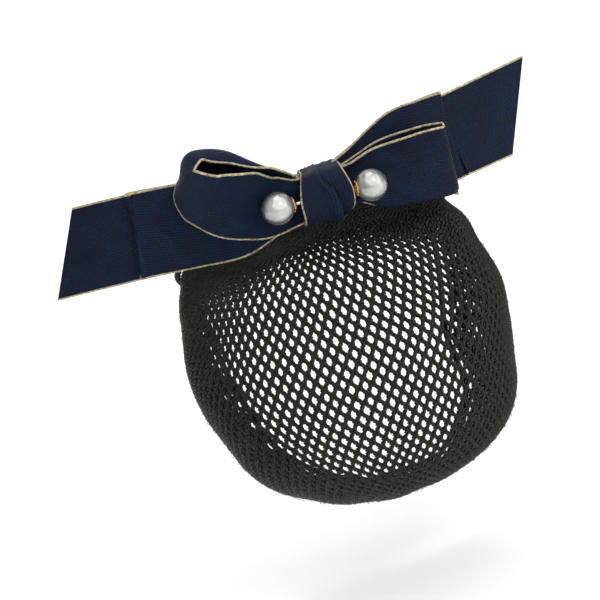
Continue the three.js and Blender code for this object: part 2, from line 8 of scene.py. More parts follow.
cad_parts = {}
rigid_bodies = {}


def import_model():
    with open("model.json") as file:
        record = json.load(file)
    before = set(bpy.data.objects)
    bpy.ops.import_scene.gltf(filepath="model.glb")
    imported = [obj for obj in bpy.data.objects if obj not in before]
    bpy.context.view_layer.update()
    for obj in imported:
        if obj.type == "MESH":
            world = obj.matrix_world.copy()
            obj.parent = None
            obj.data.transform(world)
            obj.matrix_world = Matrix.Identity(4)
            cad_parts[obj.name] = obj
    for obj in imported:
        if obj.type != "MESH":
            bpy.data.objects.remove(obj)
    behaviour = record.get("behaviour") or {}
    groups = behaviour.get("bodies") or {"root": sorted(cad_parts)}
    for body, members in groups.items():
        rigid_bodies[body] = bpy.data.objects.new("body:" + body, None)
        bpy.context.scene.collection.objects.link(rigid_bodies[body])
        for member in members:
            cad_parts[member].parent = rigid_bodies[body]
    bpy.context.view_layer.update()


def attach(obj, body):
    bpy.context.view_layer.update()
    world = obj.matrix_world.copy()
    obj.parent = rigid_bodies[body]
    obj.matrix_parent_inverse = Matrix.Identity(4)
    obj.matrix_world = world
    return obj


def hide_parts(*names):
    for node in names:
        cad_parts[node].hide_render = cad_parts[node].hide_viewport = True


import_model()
# Lengths in the dictionaries are in millimetres and angles in degrees, unless a comment says otherwise
millimetre = 0.001

# The camera comes first. Its target is the point of the bow's plane that the middle of the frame shows.
camera = {
    "azimuth": -12,
    "elevation": 18,
    "roll": 15,
    "distance": 700,
    "seenWidth": 181.8,
    "sensor": 36,
    "planeY": -12,
    "targetRight": -7.88,
    "targetUp": -32.42,
}


def addCamera():
    azimuth, elevation, roll = (math.radians(camera[key]) for key in ("azimuth", "elevation", "roll"))
    back = Vector((
        math.sin(azimuth) * math.cos(elevation),
        -math.cos(azimuth) * math.cos(elevation),
        math.sin(elevation),
    ))
    level = Vector((math.cos(azimuth), math.sin(azimuth), 0))
    lift = back.cross(level)
    right = level * math.cos(roll) - lift * math.sin(roll)
    up = level * math.sin(roll) + lift * math.cos(roll)
    target = Vector((0, camera["planeY"], 0)) + right * camera["targetRight"] + up * camera["targetUp"]
    place = (target + back * camera["distance"]) * millimetre
    data = bpy.data.cameras.new("camera")
    data.sensor_width = camera["sensor"]
    data.lens = camera["sensor"] * camera["distance"] / camera["seenWidth"]
    data.clip_start = 0.01
    data.clip_end = 20
    made = bpy.data.objects.new("camera", data)
    turn = Matrix((right, up, back)).transposed().to_4x4()
    made.matrix_world = Matrix.Translation(place) @ turn
    bpy.context.collection.objects.link(made)
    bpy.context.scene.camera = made


addCamera()
print("stage: camera")


# Materials
def linear(hexColour):
    channels = [int(hexColour[i:i + 2], 16) / 255 for i in (1, 3, 5)]
    return [*(c / 12.92 if c <= 0.04045 else ((c + 0.055) / 1.055) ** 2.4 for c in channels), 1]


# Settings are a node's properties and its sockets' constants. Links are sockets, or nodes whose first
# output is meant.
def addNode(tree, kind, settings, links):
    made = tree.nodes.new("ShaderNode" + kind)
    for key, value in settings.items():
        if isinstance(key, int) or key in made.inputs:
            made.inputs[key].default_value = value
        else:
            setattr(made, key, value)
    for key, source in links.items():
        socket = source.outputs[0] if isinstance(source, bpy.types.Node) else source
        tree.links.new(socket, made.inputs[key])
    return made


def newMaterial(name, settings):
    made = bpy.data.materials.new(name)
    made.use_nodes = True
    tree = made.node_tree
    shader = tree.nodes["Principled BSDF"]
    for key, value in settings.items():
        shader.inputs[key].default_value = value
    return made, tree, shader


# The scale of a pattern that repeats in about this many millimetres
def perMetre(size):
    return 1 / (size * millimetre)


# Woven polyester ribbon: a matt, deep navy cloth with ribs that run nearly along it. The threads across
# them are drawn about twice as coarse as real ones, so that they show.
weave = {
    "rib": 0.85,
    "thread": 0.68,
    "stagger": 1.5,
    "slant": 7,
    "ribDepth": 0.12,
    "threadDepth": 0.09,
    "wander": 0.2,
    "wanderSize": 11.1,
    "mottleSize": 3.85,
    "broadSize": 35.7,
    # dark is the painted shade in the hollows between ribs and threads, light the painted highlight on
    # their crowns
    "dark": "#010205",
    "light": "#172643",
    "shade": "#070A14",
}


def ribbonMaterial():
    made, tree, shader = newMaterial("woven polyester ribbon", {
        "IOR": 1.53,
        "Specular IOR Level": 0.1,
        "Sheen Weight": 0.03,
        "Sheen Roughness": 0.35,
        "Sheen Tint": linear("#5A6EA8"),
    })
    place = addNode(tree, "TexCoord", {}, {}).outputs["Object"]
    wander, mottle, broad = (
        addNode(tree, "TexNoise", {"Scale": perMetre(size), "Detail": detail}, {"Vector": place})
        for size, detail in ((weave["wanderSize"], 2), (weave["mottleSize"], 3), (weave["broadSize"], 2)))
    cloth = addNode(tree, "SeparateXYZ", {}, {0: addNode(tree, "UVMap", {}, {})})
    along, across = cloth.outputs[0], cloth.outputs[1]
    slant = math.radians(weave["slant"])
    ribTurns = 2 * math.pi * perMetre(weave["rib"])
    threadTurns = 2 * math.pi * perMetre(weave["thread"])

    # Ribs: waves across the ribbon, slanted and a little unsteady
    sway = addNode(tree, "Math", {"operation": "MULTIPLY", 1: weave["wander"] * millimetre}, {0: wander})
    level = addNode(tree, "Math", {"operation": "MULTIPLY_ADD", 1: math.cos(slant)}, {0: across, 2: sway})
    level = addNode(tree, "Math", {"operation": "MULTIPLY_ADD", 1: -math.sin(slant)}, {0: along, 2: level})
    angle = addNode(tree, "Math", {"operation": "MULTIPLY", 1: ribTurns}, {0: level})
    rib = addNode(tree, "Math", {"operation": "SINE"}, {0: angle})
    rib = addNode(tree, "MapRange", {1: -1, 2: 1}, {0: rib})

    # Threads: waves along it, staggered from rib to rib
    angle = addNode(tree, "Math", {"operation": "MULTIPLY", 1: threadTurns}, {0: along})
    angle = addNode(tree, "Math", {"operation": "MULTIPLY_ADD", 1: weave["stagger"]}, {0: rib, 2: angle})
    thread = addNode(tree, "Math", {"operation": "SINE"}, {0: angle})
    thread = addNode(tree, "MapRange", {1: -1, 2: 1}, {0: thread})

    # Colour: painted highlight on the crowns of both and painted shade in the hollows between, with random
    # mottling, and darker in broad patches
    uneven = addNode(tree, "MapRange", {1: 0.35, 2: 0.65, 4: 0.25}, {0: mottle})
    crownHighlightAndMottle = addNode(tree, "Math", {"operation": "MULTIPLY_ADD", 1: 0.42}, {0: thread, 2: uneven})
    crownHighlightAndMottle = addNode(tree, "Math", {"operation": "MULTIPLY_ADD", 1: 0.42}, {0: rib, 2: crownHighlightAndMottle})
    dark, light = linear(weave["dark"]), linear(weave["light"])
    colour = addNode(tree, "Mix", {"data_type": "RGBA", 6: dark, 7: light}, {0: crownHighlightAndMottle}).outputs[2]
    patch = addNode(tree, "MapRange", {1: 0.35, 2: 0.65, 4: 0.5}, {0: broad})
    shade = {"data_type": "RGBA", 7: linear(weave["shade"])}
    colour = addNode(tree, "Mix", shade, {0: patch, 6: colour}).outputs[2]
    roughness = addNode(tree, "MapRange", {1: 0.3, 2: 0.7, 3: 0.55, 4: 0.72}, {0: mottle})

    # Relief, in metres
    ribHeight = {"operation": "MULTIPLY", 1: weave["ribDepth"] * millimetre}
    threadHeight = {"operation": "MULTIPLY_ADD", 1: weave["threadDepth"] * millimetre}
    height = addNode(tree, "Math", ribHeight, {0: rib})
    height = addNode(tree, "Math", threadHeight, {0: thread, 2: height})
    bump = addNode(tree, "Bump", {"Strength": 0.9, "Distance": 1.0}, {"Height": height})
    tree.links.new(colour, shader.inputs["Base Color"])
    tree.links.new(roughness.outputs[0], shader.inputs["Roughness"])
    tree.links.new(bump.outputs[0], shader.inputs["Normal"])
    return made


# Spun yarn, paler and darker from fibre to fibre. Single fibres are too fine to show, so the patches are
# drawn as long as this, in millimetres.
fibrePatch = 1.11


def yarnMaterial(name, dark, light, settings):
    made, tree, shader = newMaterial(name, {"IOR": 1.5, **settings})
    place = addNode(tree, "TexCoord", {}, {}).outputs["Object"]
    fibre = addNode(tree, "TexNoise", {"Scale": perMetre(fibrePatch), "Detail": 3}, {"Vector": place})
    share = addNode(tree, "MapRange", {1: 0.35, 2: 0.65}, {0: fibre})
    colour = addNode(tree, "Mix", {"data_type": "RGBA", 6: linear(dark), 7: linear(light)}, {0: share})
    bump = addNode(tree, "Bump", {"Strength": 0.5, "Distance": 0.0001}, {"Height": fibre})
    tree.links.new(colour.outputs[2], shader.inputs["Base Color"])
    tree.links.new(bump.outputs[0], shader.inputs["Normal"])
    return made


# A glass bead dipped in pearl lacquer: a pale, cloudy body under a clear gloss, with painted shade that
# greys it towards its rim. The lacquer's flakes reflect more than plain lacquer does. They are too fine to
# show, so its grain is drawn coarser.
lacquer = {"cloudSize": 6.25, "grainSize": 1.11, "dark": "#8C8C88", "light": "#B6B6B2", "rim": "#5A5A59"}


def pearlMaterial():
    made, tree, shader = newMaterial("pearl lacquered glass", {
        "Roughness": 0.14,
        "IOR": 1.85,
        "Specular IOR Level": 0.9,
        "Coat Weight": 0.5,
        "Coat Roughness": 0.04,
        "Coat IOR": 1.5,
        "Subsurface Weight": 0.1,
        "Subsurface Radius": (0.6, 0.5, 0.45),
        "Subsurface Scale": 0.001,
    })
    place = addNode(tree, "TexCoord", {}, {}).outputs["Object"]
    cloud, grain = (
        addNode(tree, "TexNoise", {"Scale": perMetre(size), "Detail": detail}, {"Vector": place})
        for size, detail in ((lacquer["cloudSize"], 3), (lacquer["grainSize"], 2)))
    share = addNode(tree, "MapRange", {1: 0.4, 2: 0.6}, {0: cloud})
    clouds = {"data_type": "RGBA", 6: linear(lacquer["dark"]), 7: linear(lacquer["light"])}
    body = addNode(tree, "Mix", clouds, {0: share}).outputs[2]
    # Painted shade: the colour greys towards the rim, where the surface turns away from view
    facing = addNode(tree, "LayerWeight", {"Blend": 0.5}, {}).outputs["Facing"]
    paintedRimShade = addNode(tree, "MapRange", {1: 0.2, 2: 0.5}, {0: facing})
    rim = {"data_type": "RGBA", 7: linear(lacquer["rim"])}
    colour = addNode(tree, "Mix", rim, {0: paintedRimShade, 6: body})
    bump = addNode(tree, "Bump", {"Strength": 0.15, "Distance": 0.0001}, {"Height": grain})
    tree.links.new(colour.outputs[2], shader.inputs["Base Color"])
    tree.links.new(bump.outputs[0], shader.inputs["Normal"])
    return made


# Bare or plated metal with slight marks of handling. Real marks are finer than wornSize millimetres, and
# these are as coarse as they need to show.
def metalMaterial(name, dark, light, roughness, wornSize):
    made, tree, shader = newMaterial(name, {"Metallic": 1.0})
    place = addNode(tree, "TexCoord", {}, {}).outputs["Object"]
    worn = addNode(tree, "TexNoise", {"Scale": perMetre(wornSize), "Detail": 4}, {"Vector": place})
    colour = addNode(tree, "Mix", {"data_type": "RGBA", 6: linear(dark), 7: linear(light)}, {0: worn})
    dull = addNode(tree, "MapRange", {1: 0.3, 2: 0.7, 3: roughness, 4: roughness + 0.14}, {0: worn})
    bump = addNode(tree, "Bump", {"Strength": 0.2, "Distance": 0.00005}, {"Height": worn})
    tree.links.new(colour.outputs[2], shader.inputs["Base Color"])
    tree.links.new(dull.outputs[0], shader.inputs["Roughness"])
    tree.links.new(bump.outputs[0], shader.inputs["Normal"])
    return made


navyRibbon = ribbonMaterial()
# Dull, soft strands of the edging, with a glittering one wound among them
creamYarn = yarnMaterial("spun cream cotton", "#6F6751", "#BDB5A0", {"Roughness": 0.7})
goldThread = metalMaterial("metallised thread", "#86703F", "#D6C493", 0.3, 0.667)
# Black yarn with a faint gloss along its strands, and its loose fibres, coloured paler than the yarn as a
# painted highlight where they catch more light
netYarn = yarnMaterial("crocheted acrylic yarn", "#030303", "#16150F", {
    "Roughness": 0.42,
    "Specular IOR Level": 0.3,
    "Sheen Weight": 0.02,
    "Sheen Roughness": 0.5,
})
# The loose fibres' paler colour is a painted highlight
fuzzHighlightYarn = yarnMaterial("loose acrylic fibre painted pale", "#12110E", "#4A463C", {"Roughness": 0.5})
pearlCoat = pearlMaterial()
# Polished metals: warm yellow cups, a bright pin and a greyer clip
giltBrass = metalMaterial("gilt brass", "#B27F38", "#E6BC74", 0.2, 1.43)
brightSteel = metalMaterial("drawn steel wire", "#9DA1A6", "#D2D4D6", 0.18, 1.11)
clipSteel = metalMaterial("nickel plated steel", "#8E9296", "#B9BCBF", 0.3, 2)
print("stage: materials")


# A mesh from arrays in millimetres: quads, and caps of any number of corners
def addMesh(name, points, quads, material, uv, caps):
    points = np.asarray(points, dtype=np.float64).reshape(-1, 3) * millimetre
    corners = np.concatenate([np.reshape(quads, -1), *caps]).astype(np.int32)
    sizes = np.concatenate([np.full(len(quads), 4), [len(cap) for cap in caps]]).astype(np.int32)
    starts = np.concatenate([[0], np.cumsum(sizes)[:-1]]).astype(np.int32)
    mesh = bpy.data.meshes.new(name)
    mesh.vertices.add(len(points))
    mesh.vertices.foreach_set("co", points.ravel())
    mesh.loops.add(len(corners))
    mesh.loops.foreach_set("vertex_index", corners)
    mesh.polygons.add(len(sizes))
    mesh.polygons.foreach_set("loop_start", starts)
    mesh.polygons.foreach_set("use_smooth", np.ones(len(sizes), dtype=bool))
    if uv is not None:
        layer = mesh.uv_layers.new(name="UVMap")
        flat = np.zeros((len(corners), 2))
        flat[:len(uv)] = uv
        layer.data.foreach_set("uv", flat.ravel())
    mesh.update(calc_edges=True)
    mesh.validate()
    mesh.materials.append(material)
    made = bpy.data.objects.new(name, mesh)
    bpy.context.collection.objects.link(made)
    return made


def seat(made, slotName, *nodes):
    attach(made, "root")
    if nodes:
        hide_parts(*nodes)
    return made


def unit(vectors):
    return vectors / np.maximum(np.linalg.norm(vectors, axis=-1, keepdims=True), 1e-12)


def slope(values, closed):
    if closed:
        return np.roll(values, -1, axis=0) - np.roll(values, 1, axis=0)
    return np.gradient(values, axis=0)


# Faces of a net of rings: points is (rings, ring size, 3)
def ringFaces(rings, size, closed):
    i = np.arange(rings if closed else rings - 1)[:, None]
    j = np.arange(size)[None, :]
    after = (i + 1) % rings
    beside = (j + 1) % size
    quads = np.stack([i * size + j, i * size + beside, after * size + beside, after * size + j], axis=-1)
    return quads.reshape(-1, 4)


# Values between a table's rows, on a smooth curve through them. A share of 0 is the first row.
def readTable(piece, shares, closed):
    table = np.array(piece["rows"], dtype=float)
    count = len(table)
    place = np.asarray(shares) * (count if closed else count - 1)
    at = np.minimum(np.floor(place).astype(int), count - 1 if closed else count - 2)
    t = (place - at)[:, None]
    spots = [at - 1, at, at + 1, at + 2]
    a, b, c, d = (table[i % count if closed else np.clip(i, 0, count - 1)] for i in spots)
    first, last = (c - a) / 2, (d - b) / 2
    values = (((2 * b - 2 * c + first + last) * t - 3 * b + 3 * c - 2 * first - last) * t + first) * t + b
    return dict(zip(piece["columns"], values.T))


# The clip's arc and the straight lines past its ends, which the net, the loops and the tail ribbon follow
clip = {"length": 80, "radius": 110}


def clipCurve(x):
    end = clip["length"] / 2
    reach = np.minimum(np.abs(x), end)
    depth = np.sqrt(clip["radius"] ** 2 - reach ** 2)
    return clip["radius"] - depth + (np.abs(x) - reach) * end / depth


def clipSlope(x):
    reach = np.minimum(np.abs(x), clip["length"] / 2)
    return np.sign(x) * reach / np.sqrt(clip["radius"] ** 2 - reach ** 2)


# The lower edge can be folded away behind: footShare of half the width turns by footTurn degrees.
# Creases start creaseFrom millimetres from the middle. Where a loop is evened out, each station takes the
# mean of smoothReach stations on each side.
ribbon = {
    "width": 26.5,
    "thick": 0.5,
    "footShare": 0.18,
    "footTurn": 110,
    "creaseFrom": 8,
    "creaseWander": 0.25,  # of half the width
    "creaseWave": 0.23,  # radians to the millimetre
    "smoothReach": 14,
}

# The place of each layer from front to back: the clip's plate is at 0, and forward is negative
layers = {
    "net": -2.5,
    "knotBack": -4.5,
    "tail": -6.3,
    "underBack": -8.3,
    "underFront": -9.7,
    "loopBack": -11.3,
    "loopFront": -12.7,
    "pin": -19.2,
    "knotFront": -19.4,
}


# The surface of a band through its stations: points, the length along it and the place across it. The
# part above rollFrom rolls back. Each face is worked out in finer steps, so that rolled edges bend evenly.
def bandSurface(centre, across, half, curl, roll, slant, closed, pieces, pleat, rollFrom, foot):
    finer = 6
    along = unit(slope(centre, closed))
    face = unit(np.cross(along, across))
    upward = unit(np.cross(face, along))
    v = np.linspace(-1, 1, pieces + 1)
    fine = np.linspace(-1, 1, pieces * finer + 1)
    past = np.maximum(0, (fine - rollFrom) / (1 - rollFrom))
    below = np.maximum(0, (-fine - 1 + ribbon["footShare"]) / ribbon["footShare"])
    tuck = foot[:, None] * ribbon["footTurn"] * below
    turn = np.radians(curl[:, None] * fine / 2 + roll[:, None] * past - tuck)
    stepSize = fine[1] - fine[0]
    middleTurn = (turn[:, 1:] + turn[:, :-1]) / 2
    none = np.zeros((len(centre), 1))
    level = np.concatenate([none, np.cumsum(np.cos(middleTurn), axis=1)], axis=1)
    rise = np.concatenate([none, np.cumsum(np.sin(middleTurn), axis=1)], axis=1)
    middle = len(fine) // 2
    level = (level - level[:, middle:middle + 1]) * stepSize
    rise = (rise - rise[:, middle:middle + 1]) * stepSize
    level, rise = level[:, ::finer] * half[:, None], rise[:, ::finer] * half[:, None]
    points = centre[:, None, :] + level[..., None] * upward[:, None, :] + rise[..., None] * face[:, None, :]
    points = points + (slant[:, None] * v[None, :])[..., None] * along[:, None, :]
    points = points + pleat(points, v)[..., None] * surfaceNormals(points, closed)
    gaps = np.linalg.norm(slope(centre, closed), axis=1) / (2 if closed else 1)
    length = np.concatenate([[0], np.cumsum(gaps)])
    return points, length, v


def surfaceNormals(points, closed):
    return unit(np.cross(slope(points, closed), np.gradient(points, axis=1)))


# Cloth of the ribbon's thickness on a surface, mapped at its flat size
def addBand(name, node, surface, closed, width):
    points, length, v = surface
    raised = surfaceNormals(points, closed) * ribbon["thick"] / 2
    rings = np.concatenate([points + raised, (points - raised)[:, ::-1]], axis=1)
    count, size = rings.shape[:2]
    quads = ringFaces(count, size, closed)
    t = np.concatenate([v, v[::-1]]) * width / 2
    i = np.repeat(np.arange(len(quads) // size), size)
    j = np.tile(np.arange(size), len(quads) // size)
    beside = (j + 1) % size
    corners = [(length[i], t[j]), (length[i], t[beside]), (length[i + 1], t[beside]), (length[i + 1], t[j])]
    uv = np.stack([np.stack(corner, axis=-1) for corner in corners], axis=1).reshape(-1, 2) * millimetre
    caps = []
    if not closed:
        caps = [np.arange(size)[::-1], (count - 1) * size + np.arange(size)]
    return seat(addMesh(name, rings, quads, navyRibbon, uv, caps), "ribbon", node)


# Even steps along a line, carrying other vectors with it
def evenly(path, others, spacing, closed):
    if closed:
        path, others = np.concatenate([path, path[:1]]), [np.concatenate([o, o[:1]]) for o in others]
    gaps = np.linalg.norm(np.diff(path, axis=0), axis=1)
    length = np.concatenate([[0], np.cumsum(gaps)])
    count = max(int(length[-1] / spacing), 4)
    spots = np.linspace(0, length[-1], count + 1)
    if closed:
        spots = spots[:-1]

    def atSpots(values):
        return np.stack([np.interp(spots, length, values[:, k]) for k in range(3)], axis=-1)

    carry = [atSpots(values) for values in (path, *others)]
    return carry[0], [unit(a) for a in carry[1:]], spots, length[-1]


def tube(centre, first, second, radius, sides):
    angle = 2 * math.pi * np.arange(sides) / sides
    ring = np.cos(angle)[None, :, None] * first[:, None, :]
    ring = ring + np.sin(angle)[None, :, None] * second[:, None, :]
    return centre[:, None, :] + radius * ring


# Round strands that wind round a line, which comes from evenly()
def windStrands(line, cord, closed, start=0.0):
    path, (side, face), spots, total = line
    turns = total / cord["pitch"]
    if closed:
        turns = max(round(turns), 1)
    meshes = []
    for k in range(cord["strands"]):
        angle = 2 * math.pi * (spots / total * turns + k / cord["strands"]) + start
        centre = path + cord["orbit"] * (np.cos(angle)[:, None] * side + np.sin(angle)[:, None] * face)
        along = unit(slope(centre, closed))
        first = unit(np.cross(face, along))
        second = unit(np.cross(along, first))
        meshes.append((tube(centre, first, second, cord["radius"], cord["sides"]), closed))
    return meshes


def addStrands(name, slotName, meshes, material, *nodes):
    points, quads, caps, start = [], [], [], 0
    for rings, closed in meshes:
        count, size = rings.shape[:2]
        points.append(rings.reshape(-1, 3))
        quads.append(ringFaces(count, size, closed) + start)
        if not closed:
            caps += [start + np.arange(size)[::-1], start + (count - 1) * size + np.arange(size)]
        start += count * size
    made = addMesh(name, np.concatenate(points), np.concatenate(quads), material, None, caps)
    return seat(made, slotName, *nodes)


# The cord sewn along a ribbon's edges: two cream strands and one gold one, wound together
edging = {
    "strands": 3,
    "sides": 5,
    "orbit": 0.20,
    "radius": 0.23,
    "pitch": 1.8,
    "spacing": 0.28,
    "outside": 0.15,
}


def edgeCord(name, surface, closed):
    points = surface[0]
    normals = surfaceNormals(points, closed)
    cream, gold = [], []
    for edge, inner in ((0, 1), (-1, -2)):
        outside = unit(points[:, edge] - points[:, inner])
        path = points[:, edge] + outside * edging["outside"]
        line = evenly(path, (outside, normals[:, edge]), edging["spacing"], closed)
        strands = windStrands(line, edging, closed)
        cream += strands[:2]
        gold += strands[2:]
    addStrands(f"{name}_cord_cream", "ribbon", cream, creamYarn)
    addStrands(f"{name}_cord_gold", "ribbon", gold, goldThread)


# Creases that run out from the knot and fade along the ribbon
def creases(depth, count, phase, reach):
    def pleat(points, v):
        away = np.abs(points[..., 0])
        fade = np.exp(-(np.maximum(away - ribbon["creaseFrom"], 0) / reach) ** 2)
        wander = ribbon["creaseWander"] * np.sin(points[..., 0] * ribbon["creaseWave"] + phase)
        return depth * fade * np.cos(math.pi * count * (v[None, :] + wander) + phase)
    return pleat


# nod, side, curl and roll are in degrees, and the rest are shares
loopColumns = ("reach", "layer", "puff", "lift", "spread", "nod", "side", "curl", "roll")


# A closed loop of ribbon. leaning gives how far the sections shear along their path, foot how far the
# lower edge is folded away, and eased where the stations are evened out.
def loopSurface(piece):
    share = np.arange(piece["stations"]) / piece["stations"]
    row = readTable(piece, share, True)
    x = row["reach"] * piece["span"] / 2
    half = row["spread"] * ribbon["width"] / 2
    nod, side = np.radians(row["nod"]), np.radians(row["side"])
    backY, frontY = layers[piece["back"]], layers[piece["front"]]
    lowerY = backY + (frontY - backY) * row["layer"] + clipCurve(x) - row["puff"] * piece["puff"]
    centre = np.stack([x, lowerY - half * np.sin(nod), row["lift"] * ribbon["width"]], axis=-1)
    lean = np.sin(side)
    forward = clipSlope(x) * lean - np.sin(nod) * np.cos(side)
    across = np.stack([lean, forward, np.cos(nod) * np.cos(side)], axis=-1)
    along = unit(slope(centre, True))
    slant = half * np.sum(along * across, axis=1) * piece["leaning"](x, row["layer"])
    points, length, v = bandSurface(
        centre, across, half, row["curl"], row["roll"], slant, True, piece["faces"],
        piece["pleat"], piece["rollFrom"], piece["foot"](share))
    reach = ribbon["smoothReach"]
    smooth = sum(np.roll(points, k, axis=0) for k in range(-reach, reach + 1)) / (2 * reach + 1)
    return points + (smooth - points) * piece["eased"](share)[:, None, None], length, v


# In front: the left loop stands open and round, the right one lies flat
frontLoops = {
    "stations": 420,
    "faces": 36,
    "span": 84,
    "puff": 12,
    "back": "loopBack",
    "front": "loopFront",
    "pleat": creases(0.55, 2.5, 0.6, 13),
    "rollFrom": 0.25,
    "eased": lambda share: np.interp(share, [0.03, 0.07, 0.16, 0.22], [0, 1, 1, 0]),
    "leaning": lambda x, layer: np.where(x > 0, 1, np.interp(x, [-34, -16], [0, 1]) * (layer > 0.5)),
    "foot": lambda share: np.interp(
        share,
        [0.52, 0.55, 0.62, 0.66, 0.714, 0.748, 0.87, 0.93, 0.99, 1],
        [0, 1, 1, 0, 0, 1, 1, 1.6, 1.6, 0]),
    "columns": loopColumns,
    "rows": [
        (0.00, 1.0, 0.00, 0.02, 0.46, 0, 0, 0, 0),
        (-0.24, 1.0, 0.00, 0.01, 0.51, 3, 2, 0, 0),
        (-0.35, 1.0, 0.00, 0.05, 0.66, 8, 4, 0, 0),
        (-0.46, 1.0, 0.00, 0.05, 0.73, 14, 9, 0, 0),
        (-0.72, 1.0, 0.34, 0.31, 1.00, 34, 11, -6, 0),
        (-0.92, 0.9, 0.50, 0.50, 1.00, 42, 4, -8, 0),
        (-1.02, 0.5, 0.42, 0.71, 1.00, 50, 0, 0, 20),
        (-0.95, 0.1, 0.24, 0.89, 1.00, 46, 6, 0, 90),
        (-0.74, 0.0, 0.12, 0.73, 0.98, 24, 14, 0, 130),
        (-0.50, 0.0, 0.04, 0.33, 0.82, 8, 12, 0, 80),
        (-0.25, 0.0, 0.00, 0.04, 0.54, 0, 2, 0, 10),
        (0.00, 0.0, 0.00, 0.00, 0.46, 0, 0, 0, 0),
        (0.20, 0.0, 0.00, 0.00, 0.50, 0, 0, 0, 0),
        (0.46, 0.0, 0.00, -0.01, 0.80, 6, -2, 0, 0),
        (0.74, 0.0, 0.14, -0.02, 0.88, 12, -3, 0, 0),
        (0.94, 0.0, 0.24, -0.07, 0.97, 18, -5, 0, 0),
        (0.98, 0.5, 0.27, -0.09, 0.98, 18, -6, 0, 0),
        (0.94, 1.0, 0.30, -0.11, 0.98, 18, -5, 0, 0),
        (0.72, 1.0, 0.30, -0.07, 0.92, 13, -3, 4, 0),
        (0.44, 1.0, 0.12, -0.05, 0.79, 6, -3, 4, 0),
        (0.20, 1.0, 0.00, 0.00, 0.50, 2, 0, 0, 0),
    ],
}
surface = loopSurface(frontLoops)
piece = addBand("front_loops_cloth", "front_loops", surface, True, ribbon["width"])
edgeCord("front_loops", surface, True)
print("stage: front loops", round(surface[1][-1], 1))

# Behind them: a flat pair with creased ends
underLoops = {
    "stations": 400,
    "faces": 28,
    "span": 102,
    "puff": 12,
    "back": "underBack",
    "front": "underFront",
    "pleat": creases(0.3, 2.5, 0.6, 12),
    "rollFrom": 0.2,
    "eased": lambda share: 0 * share,
    "leaning": lambda x, layer: 0 * x,
    "foot": lambda share: np.interp(
        share, [0.5, 0.53, 0.6, 0.63, 0.87, 0.9, 0.97, 1], [0, 1, 1, 0, 0, 1, 1, 0]),
    "columns": loopColumns,
    "rows": [
        (0.00, 1.0, 0.00, 0.00, 0.44, 0, 0, 0, 0),
        (-0.22, 1.0, 0.00, 0.00, 0.52, 0, 0, 0, 0),
        (-0.52, 1.0, 0.00, 0.02, 0.96, 0, 2, 0, 0),
        (-0.82, 1.0, 0.00, 0.03, 1.00, 0, 6, 0, 0),
        (-1.08, 1.0, 0.00, 0.04, 1.00, 0, 8, 0, 0),
        (-1.11, 0.5, 0.00, 0.04, 1.00, 0, 8, 0, 0),
        (-1.08, 0.0, 0.00, 0.04, 1.00, 0, 8, 0, 0),
        (-0.82, 0.0, 0.00, 0.02, 1.00, 0, 6, 0, 0),
        (-0.52, 0.0, 0.00, 0.00, 0.96, 0, 2, 0, 0),
        (-0.22, 0.0, 0.00, 0.00, 0.52, 0, 0, 0, 0),
        (0.00, 0.0, 0.00, 0.00, 0.44, 0, 0, 0, 0),
        (0.22, 0.0, 0.00, 0.06, 0.60, 0, 0, 0, 0),
        (0.50, 0.0, 0.00, 0.09, 1.00, 0, -4, 0, 0),
        (0.72, 0.0, 0.00, 0.08, 1.04, 0, -9, 0, 0),
        (0.88, 0.0, 0.00, 0.06, 1.05, 0, -10, 0, 0),
        (0.91, 0.5, 0.00, 0.06, 1.05, 0, -10, 0, 0),
        (0.88, 1.0, 0.00, 0.06, 1.05, 0, -10, 0, 0),
        (0.72, 1.0, 0.00, 0.09, 1.04, 0, -10, 0, 0),
        (0.50, 1.0, 0.00, 0.11, 1.00, 0, -5, 0, 0),
        (0.22, 1.0, 0.00, 0.08, 0.60, 0, 0, 0, 0),
    ],
}
surface = loopSurface(underLoops)
piece = addBand("under_loops_cloth", "under_loops", surface, True, ribbon["width"])
edgeCord("under_loops", surface, True)
print("stage: under loops", round(surface[1][-1], 1))

# Behind both: the strip whose slanted ends stick out
tail = {
    "stations": 260,
    "faces": 28,
    "foot": ([0.5, 0.58, 0.7, 0.75], [0, 1, 1, 0]),
    "span": 146,
    "cut": 13,
    "pleat": creases(0.25, 2.5, 0.6, 12),
    "columns": ("reach", "lift", "spread", "slant"),
    "rows": [
        (-1.07, -0.02, 1.01, 1.0),
        (-0.76, 0.00, 1.00, 0.5),
        (-0.50, 0.00, 0.98, 0.0),
        (-0.28, 0.00, 0.80, 0.0),
        (-0.12, 0.01, 0.50, 0.0),
        (0.00, 0.01, 0.42, 0.0),
        (0.12, 0.01, 0.50, 0.0),
        (0.28, 0.00, 0.80, 0.0),
        (0.50, 0.00, 0.98, 0.0),
        (0.76, 0.00, 1.03, 0.5),
        (1.02, 0.00, 1.06, 1.0),
    ],
}


def tailSurface():
    share = np.linspace(0, 1, tail["stations"])
    row = readTable(tail, share, False)
    x = row["reach"] * tail["span"] / 2
    centre = np.stack([x, layers["tail"] + clipCurve(x), row["lift"] * ribbon["width"]], axis=-1)
    across = np.tile([0.0, 0.0, 1.0], (len(share), 1))
    flat = np.zeros(len(share))
    half = row["spread"] * ribbon["width"] / 2
    slant = row["slant"] * tail["cut"] / 2
    foot = np.interp(share, *tail["foot"])
    return bandSurface(
        centre, across, half, flat, flat, slant, False, tail["faces"], tail["pleat"], 0, foot)


surface = tailSurface()
piece = addBand("tail_ribbon_cloth", "tail_ribbon", surface, False, ribbon["width"])
edgeCord("tail_ribbon", surface, False)
print("stage: tail ribbon", round(surface[1][-1], 1))

